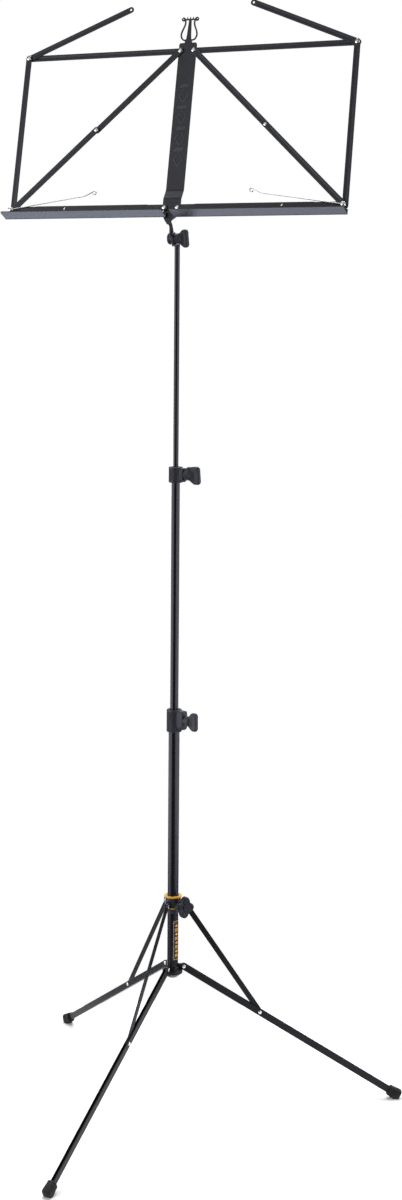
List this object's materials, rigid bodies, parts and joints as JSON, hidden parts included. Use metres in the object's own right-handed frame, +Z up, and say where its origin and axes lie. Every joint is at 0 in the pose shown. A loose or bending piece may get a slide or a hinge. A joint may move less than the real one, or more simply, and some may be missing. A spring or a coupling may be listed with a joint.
{
  "type": "music stand",
  "caption": "Folding music stand: wire-page desk on a three-section tube mast with a folding tripod base.",
  "frame": {"origin": "bottom centre of the bounding box, on the floor", "axes": "+Z up along the mast, -Y the front, where the reader stands, +X to the reader's right"},
  "size_m": [0.5716, 0.5256, 1.5609],
  "materials": {
    "black_powder_coat": "satin",
    "black_tube": "semi-gloss",
    "bright_rivet": "polished",
    "steel_screw": "satin",
    "charcoal_plastic": "matte",
    "yellow_plastic": "gloss",
    "black_rubber": "matte",
    "spring_wire": "bright"
  },
  "bodies": {
    "base": {"base_tube": "black_tube", "leg_hub": "black_powder_coat", "hub_rivets": "bright_rivet", "base_clamp": "charcoal_plastic"},
    "base_clamp_screw": {"base_clamp_knob": "charcoal_plastic", "base_clamp_screw": "steel_screw"},
    "collar": {"collar_body": "charcoal_plastic", "collar_bush": "yellow_plastic", "collar_ring": "yellow_plastic", "collar_rivets": "bright_rivet"},
    "collar_lock": {"collar_knob": "charcoal_plastic", "collar_screw": "steel_screw"},
    "mid_guide": {"mid_tube_bush": "charcoal_plastic"},
    "mid_section": {"mid_tube": "black_tube", "mid_clamp": "charcoal_plastic"},
    "mid_clamp_screw": {"mid_clamp_knob": "charcoal_plastic", "mid_clamp_screw": "steel_screw"},
    "rod_guide": {"rod_bush": "charcoal_plastic"},
    "top_section": {"rod": "black_tube", "tilt_head": "black_powder_coat", "tilt_cap": "charcoal_plastic", "tilt_bolt": "steel_screw"},
    "tilt_lock": {"tilt_knob": "charcoal_plastic"},
    "desk": {"spine": "black_powder_coat", "spine_rivets": "bright_rivet", "tilt_bracket": "black_powder_coat"},
    "leg_1": {"leg_1": "black_powder_coat", "foot_1": "black_rubber", "knee_rivet_1": "bright_rivet"},
    "strut_1": {"strut_1": "black_powder_coat"},
    "leg_2": {"leg_2": "black_powder_coat", "foot_2": "black_rubber", "knee_rivet_2": "bright_rivet"},
    "strut_2": {"strut_2": "black_powder_coat"},
    "leg_3": {"leg_3": "black_powder_coat", "foot_3": "black_rubber", "knee_rivet_3": "bright_rivet"},
    "strut_3": {"strut_3": "black_powder_coat"},
    "tray_left": {"tray_bar_left": "black_powder_coat", "tray_ledge_left": "black_powder_coat", "tray_rivets_left": "bright_rivet"},
    "top_bar_left": {"top_bar_left": "black_powder_coat", "corner_rivet_left": "bright_rivet"},
    "side_bar_left": {"side_bar_left": "black_powder_coat"},
    "upper_brace_left": {"upper_brace_left": "black_powder_coat"},
    "lower_brace_left": {"lower_brace_left": "black_powder_coat", "brace_rivet_left": "bright_rivet"},
    "page_arm_left": {"page_arm_left": "black_powder_coat"},
    "page_wire_left": {"page_wire_left": "spring_wire"},
    "tray_right": {"tray_bar_right": "black_powder_coat", "tray_ledge_right": "black_powder_coat", "tray_rivets_right": "bright_rivet"},
    "top_bar_right": {"top_bar_right": "black_powder_coat", "corner_rivet_right": "bright_rivet"},
    "side_bar_right": {"side_bar_right": "black_powder_coat"},
    "upper_brace_right": {"upper_brace_right": "black_powder_coat"},
    "lower_brace_right": {"lower_brace_right": "black_powder_coat", "brace_rivet_right": "bright_rivet"},
    "page_arm_right": {"page_arm_right": "black_powder_coat"},
    "page_wire_right": {"page_wire_right": "spring_wire"}
  },
  "joints": [
    {"name": "mid_slide", "type": "slide", "parent": "base", "child": "mid_guide", "axis": [0, 0, 1], "range_m": [-0.31, 0]},
    {"name": "mid_swivel", "type": "hinge", "parent": "mid_guide", "child": "mid_section", "pos_m": [-0.01673, 0.06512, 0.5], "axis": [0, 0, 1], "continuous": true},
    {"name": "rod_slide", "type": "slide", "parent": "mid_section", "child": "rod_guide", "axis": [0, 0, 1], "range_m": [-0.29, 0]},
    {"name": "rod_swivel", "type": "hinge", "parent": "rod_guide", "child": "top_section", "pos_m": [-0.01673, 0.06512, 0.85], "axis": [0, 0, 1], "continuous": true},
    {"name": "desk_tilt", "type": "hinge", "parent": "top_section", "child": "desk", "pos_m": [-0.01673, 0.06512, 1.2255], "axis": [-1, 0, 0], "range_deg": [-12, 77]},
    {"name": "base_clamp_turn", "type": "hinge", "parent": "base", "child": "base_clamp_screw", "pos_m": [-0.01673, 0.06512, 0.547], "axis": [0.9613, -0.2756, 0], "range_deg": [0, 270]},
    {"name": "mid_clamp_turn", "type": "hinge", "parent": "mid_section", "child": "mid_clamp_screw", "pos_m": [-0.01673, 0.06512, 0.8935], "axis": [0.9962, -0.0872, 0], "range_deg": [0, 270]},
    {"name": "collar_lock_turn", "type": "hinge", "parent": "collar", "child": "collar_lock", "pos_m": [-0.01673, 0.06512, 0.2835], "axis": [0.8829, -0.4695, 0], "range_deg": [0, 270]},
    {"name": "tilt_lock_turn", "type": "hinge", "parent": "top_section", "child": "tilt_lock", "pos_m": [-0.01673, 0.06512, 1.2255], "axis": [1, 0, 0], "range_deg": [0, 270]},
    {"name": "collar_slide", "type": "slide", "parent": "base", "child": "collar", "axis": [0, 0, 1], "range_m": [0, 0.22761]},
    {"name": "leg_1_fold", "type": "hinge", "parent": "base", "child": "leg_1", "pos_m": [-0.00211, 0.07163, 0.1925], "axis": [0.4067, -0.9135, 0], "range_deg": [0, 118.43]},
    {"name": "strut_1_fold", "type": "hinge", "parent": "leg_1", "child": "strut_1", "pos_m": [0.09747, 0.11597, 0.12591], "axis": [0.4067, -0.9135, 0], "range_deg": [-151.23, 0]},
    {"name": "leg_2_fold", "type": "hinge", "parent": "base", "child": "leg_2", "pos_m": [-0.02967, 0.07453, 0.1925], "axis": [0.5878, 0.809, 0], "range_deg": [0, 118.43]},
    {"name": "strut_2_fold", "type": "hinge", "parent": "leg_2", "child": "strut_2", "pos_m": [-0.11786, 0.1386, 0.12591], "axis": [0.5878, 0.809, 0], "range_deg": [-151.23, 0]},
    {"name": "leg_3_fold", "type": "hinge", "parent": "base", "child": "leg_3", "pos_m": [-0.0184, 0.04921, 0.1925], "axis": [-0.9945, 0.1045, 0], "range_deg": [0, 118.43]},
    {"name": "strut_3_fold", "type": "hinge", "parent": "leg_3", "child": "strut_3", "pos_m": [-0.02979, -0.05919, 0.12591], "axis": [-0.9945, 0.1045, 0], "range_deg": [-151.23, 0]},
    {"name": "desk_fold_left", "type": "hinge", "parent": "desk", "child": "tray_left", "pos_m": [-0.02673, 0.05012, 1.266], "axis": [0, 0.9781, -0.2079], "range_deg": [0, 90]},
    {"name": "top_bar_left_fold", "type": "hinge", "parent": "desk", "child": "top_bar_left", "pos_m": [-0.02673, 0.09815, 1.49195], "axis": [0, 0.9781, -0.2079], "range_deg": [0, 90.01]},
    {"name": "side_bar_left_fold", "type": "hinge", "parent": "tray_left", "child": "side_bar_left", "pos_m": [-0.26773, 0.05012, 1.266], "axis": [0, 0.9781, -0.2079], "range_deg": [-90.01, 0]},
    {"name": "upper_brace_left_fold", "type": "hinge", "parent": "desk", "child": "upper_brace_left", "pos_m": [-0.02673, 0.09815, 1.49195], "axis": [0, 0.9781, -0.2079], "range_deg": [-46.22, 0]},
    {"name": "lower_brace_left_fold", "type": "hinge", "parent": "tray_left", "child": "lower_brace_left", "pos_m": [-0.26773, 0.05012, 1.266], "axis": [0, 0.9781, -0.2079], "range_deg": [0, 43.8]},
    {"name": "page_arm_left_turn", "type": "hinge", "parent": "top_bar_left", "child": "page_arm_left", "pos_m": [-0.26773, 0.09815, 1.49195], "axis": [0, -0.9781, 0.2079], "range_deg": [-22, 157]},
    {"name": "page_wire_left_turn", "type": "hinge", "parent": "tray_left", "child": "page_wire_left", "pos_m": [-0.26773, 0.05012, 1.266], "axis": [0, -0.9781, 0.2079], "range_deg": [-5, 171.5]},
    {"name": "desk_fold_right", "type": "hinge", "parent": "desk", "child": "tray_right", "pos_m": [-0.00673, 0.05012, 1.266], "axis": [0, -0.9781, 0.2079], "range_deg": [0, 90]},
    {"name": "top_bar_right_fold", "type": "hinge", "parent": "desk", "child": "top_bar_right", "pos_m": [-0.00673, 0.09815, 1.49195], "axis": [0, -0.9781, 0.2079], "range_deg": [0, 90.01]},
    {"name": "side_bar_right_fold", "type": "hinge", "parent": "tray_right", "child": "side_bar_right", "pos_m": [0.23427, 0.05012, 1.266], "axis": [0, -0.9781, 0.2079], "range_deg": [-90.01, 0]},
    {"name": "upper_brace_right_fold", "type": "hinge", "parent": "desk", "child": "upper_brace_right", "pos_m": [-0.00673, 0.09815, 1.49195], "axis": [0, -0.9781, 0.2079], "range_deg": [-46.22, 0]},
    {"name": "lower_brace_right_fold", "type": "hinge", "parent": "tray_right", "child": "lower_brace_right", "pos_m": [0.23427, 0.05012, 1.266], "axis": [0, -0.9781, 0.2079], "range_deg": [0, 43.8]},
    {"name": "page_arm_right_turn", "type": "hinge", "parent": "top_bar_right", "child": "page_arm_right", "pos_m": [0.23427, 0.09815, 1.49195], "axis": [0, 0.9781, -0.2079], "range_deg": [-22, 157]},
    {"name": "page_wire_right_turn", "type": "hinge", "parent": "tray_right", "child": "page_wire_right", "pos_m": [0.23427, 0.05012, 1.266], "axis": [0, 0.9781, -0.2079], "range_deg": [-5, 171.5]}
  ],
  "couplings": [
    {"joint": "leg_1_fold", "follows": "collar_slide", "rad_per_m": 9.0808},
    {"joint": "strut_1_fold", "follows": "collar_slide", "rad_per_m": -11.596},
    {"joint": "leg_2_fold", "follows": "collar_slide", "rad_per_m": 9.0808},
    {"joint": "strut_2_fold", "follows": "collar_slide", "rad_per_m": -11.596},
    {"joint": "leg_3_fold", "follows": "collar_slide", "rad_per_m": 9.0808},
    {"joint": "strut_3_fold", "follows": "collar_slide", "rad_per_m": -11.596},
    {"joint": "top_bar_left_fold", "follows": "desk_fold_left", "ratio": 1},
    {"joint": "side_bar_left_fold", "follows": "desk_fold_left", "ratio": -1},
    {"joint": "upper_brace_left_fold", "follows": "desk_fold_left", "ratio": -0.51349},
    {"joint": "lower_brace_left_fold", "follows": "desk_fold_left", "ratio": 0.48651},
    {"joint": "top_bar_right_fold", "follows": "desk_fold_right", "ratio": 1},
    {"joint": "side_bar_right_fold", "follows": "desk_fold_right", "ratio": -1},
    {"joint": "upper_brace_right_fold", "follows": "desk_fold_right", "ratio": -0.51349},
    {"joint": "lower_brace_right_fold", "follows": "desk_fold_right", "ratio": 0.48651}
  ]
}
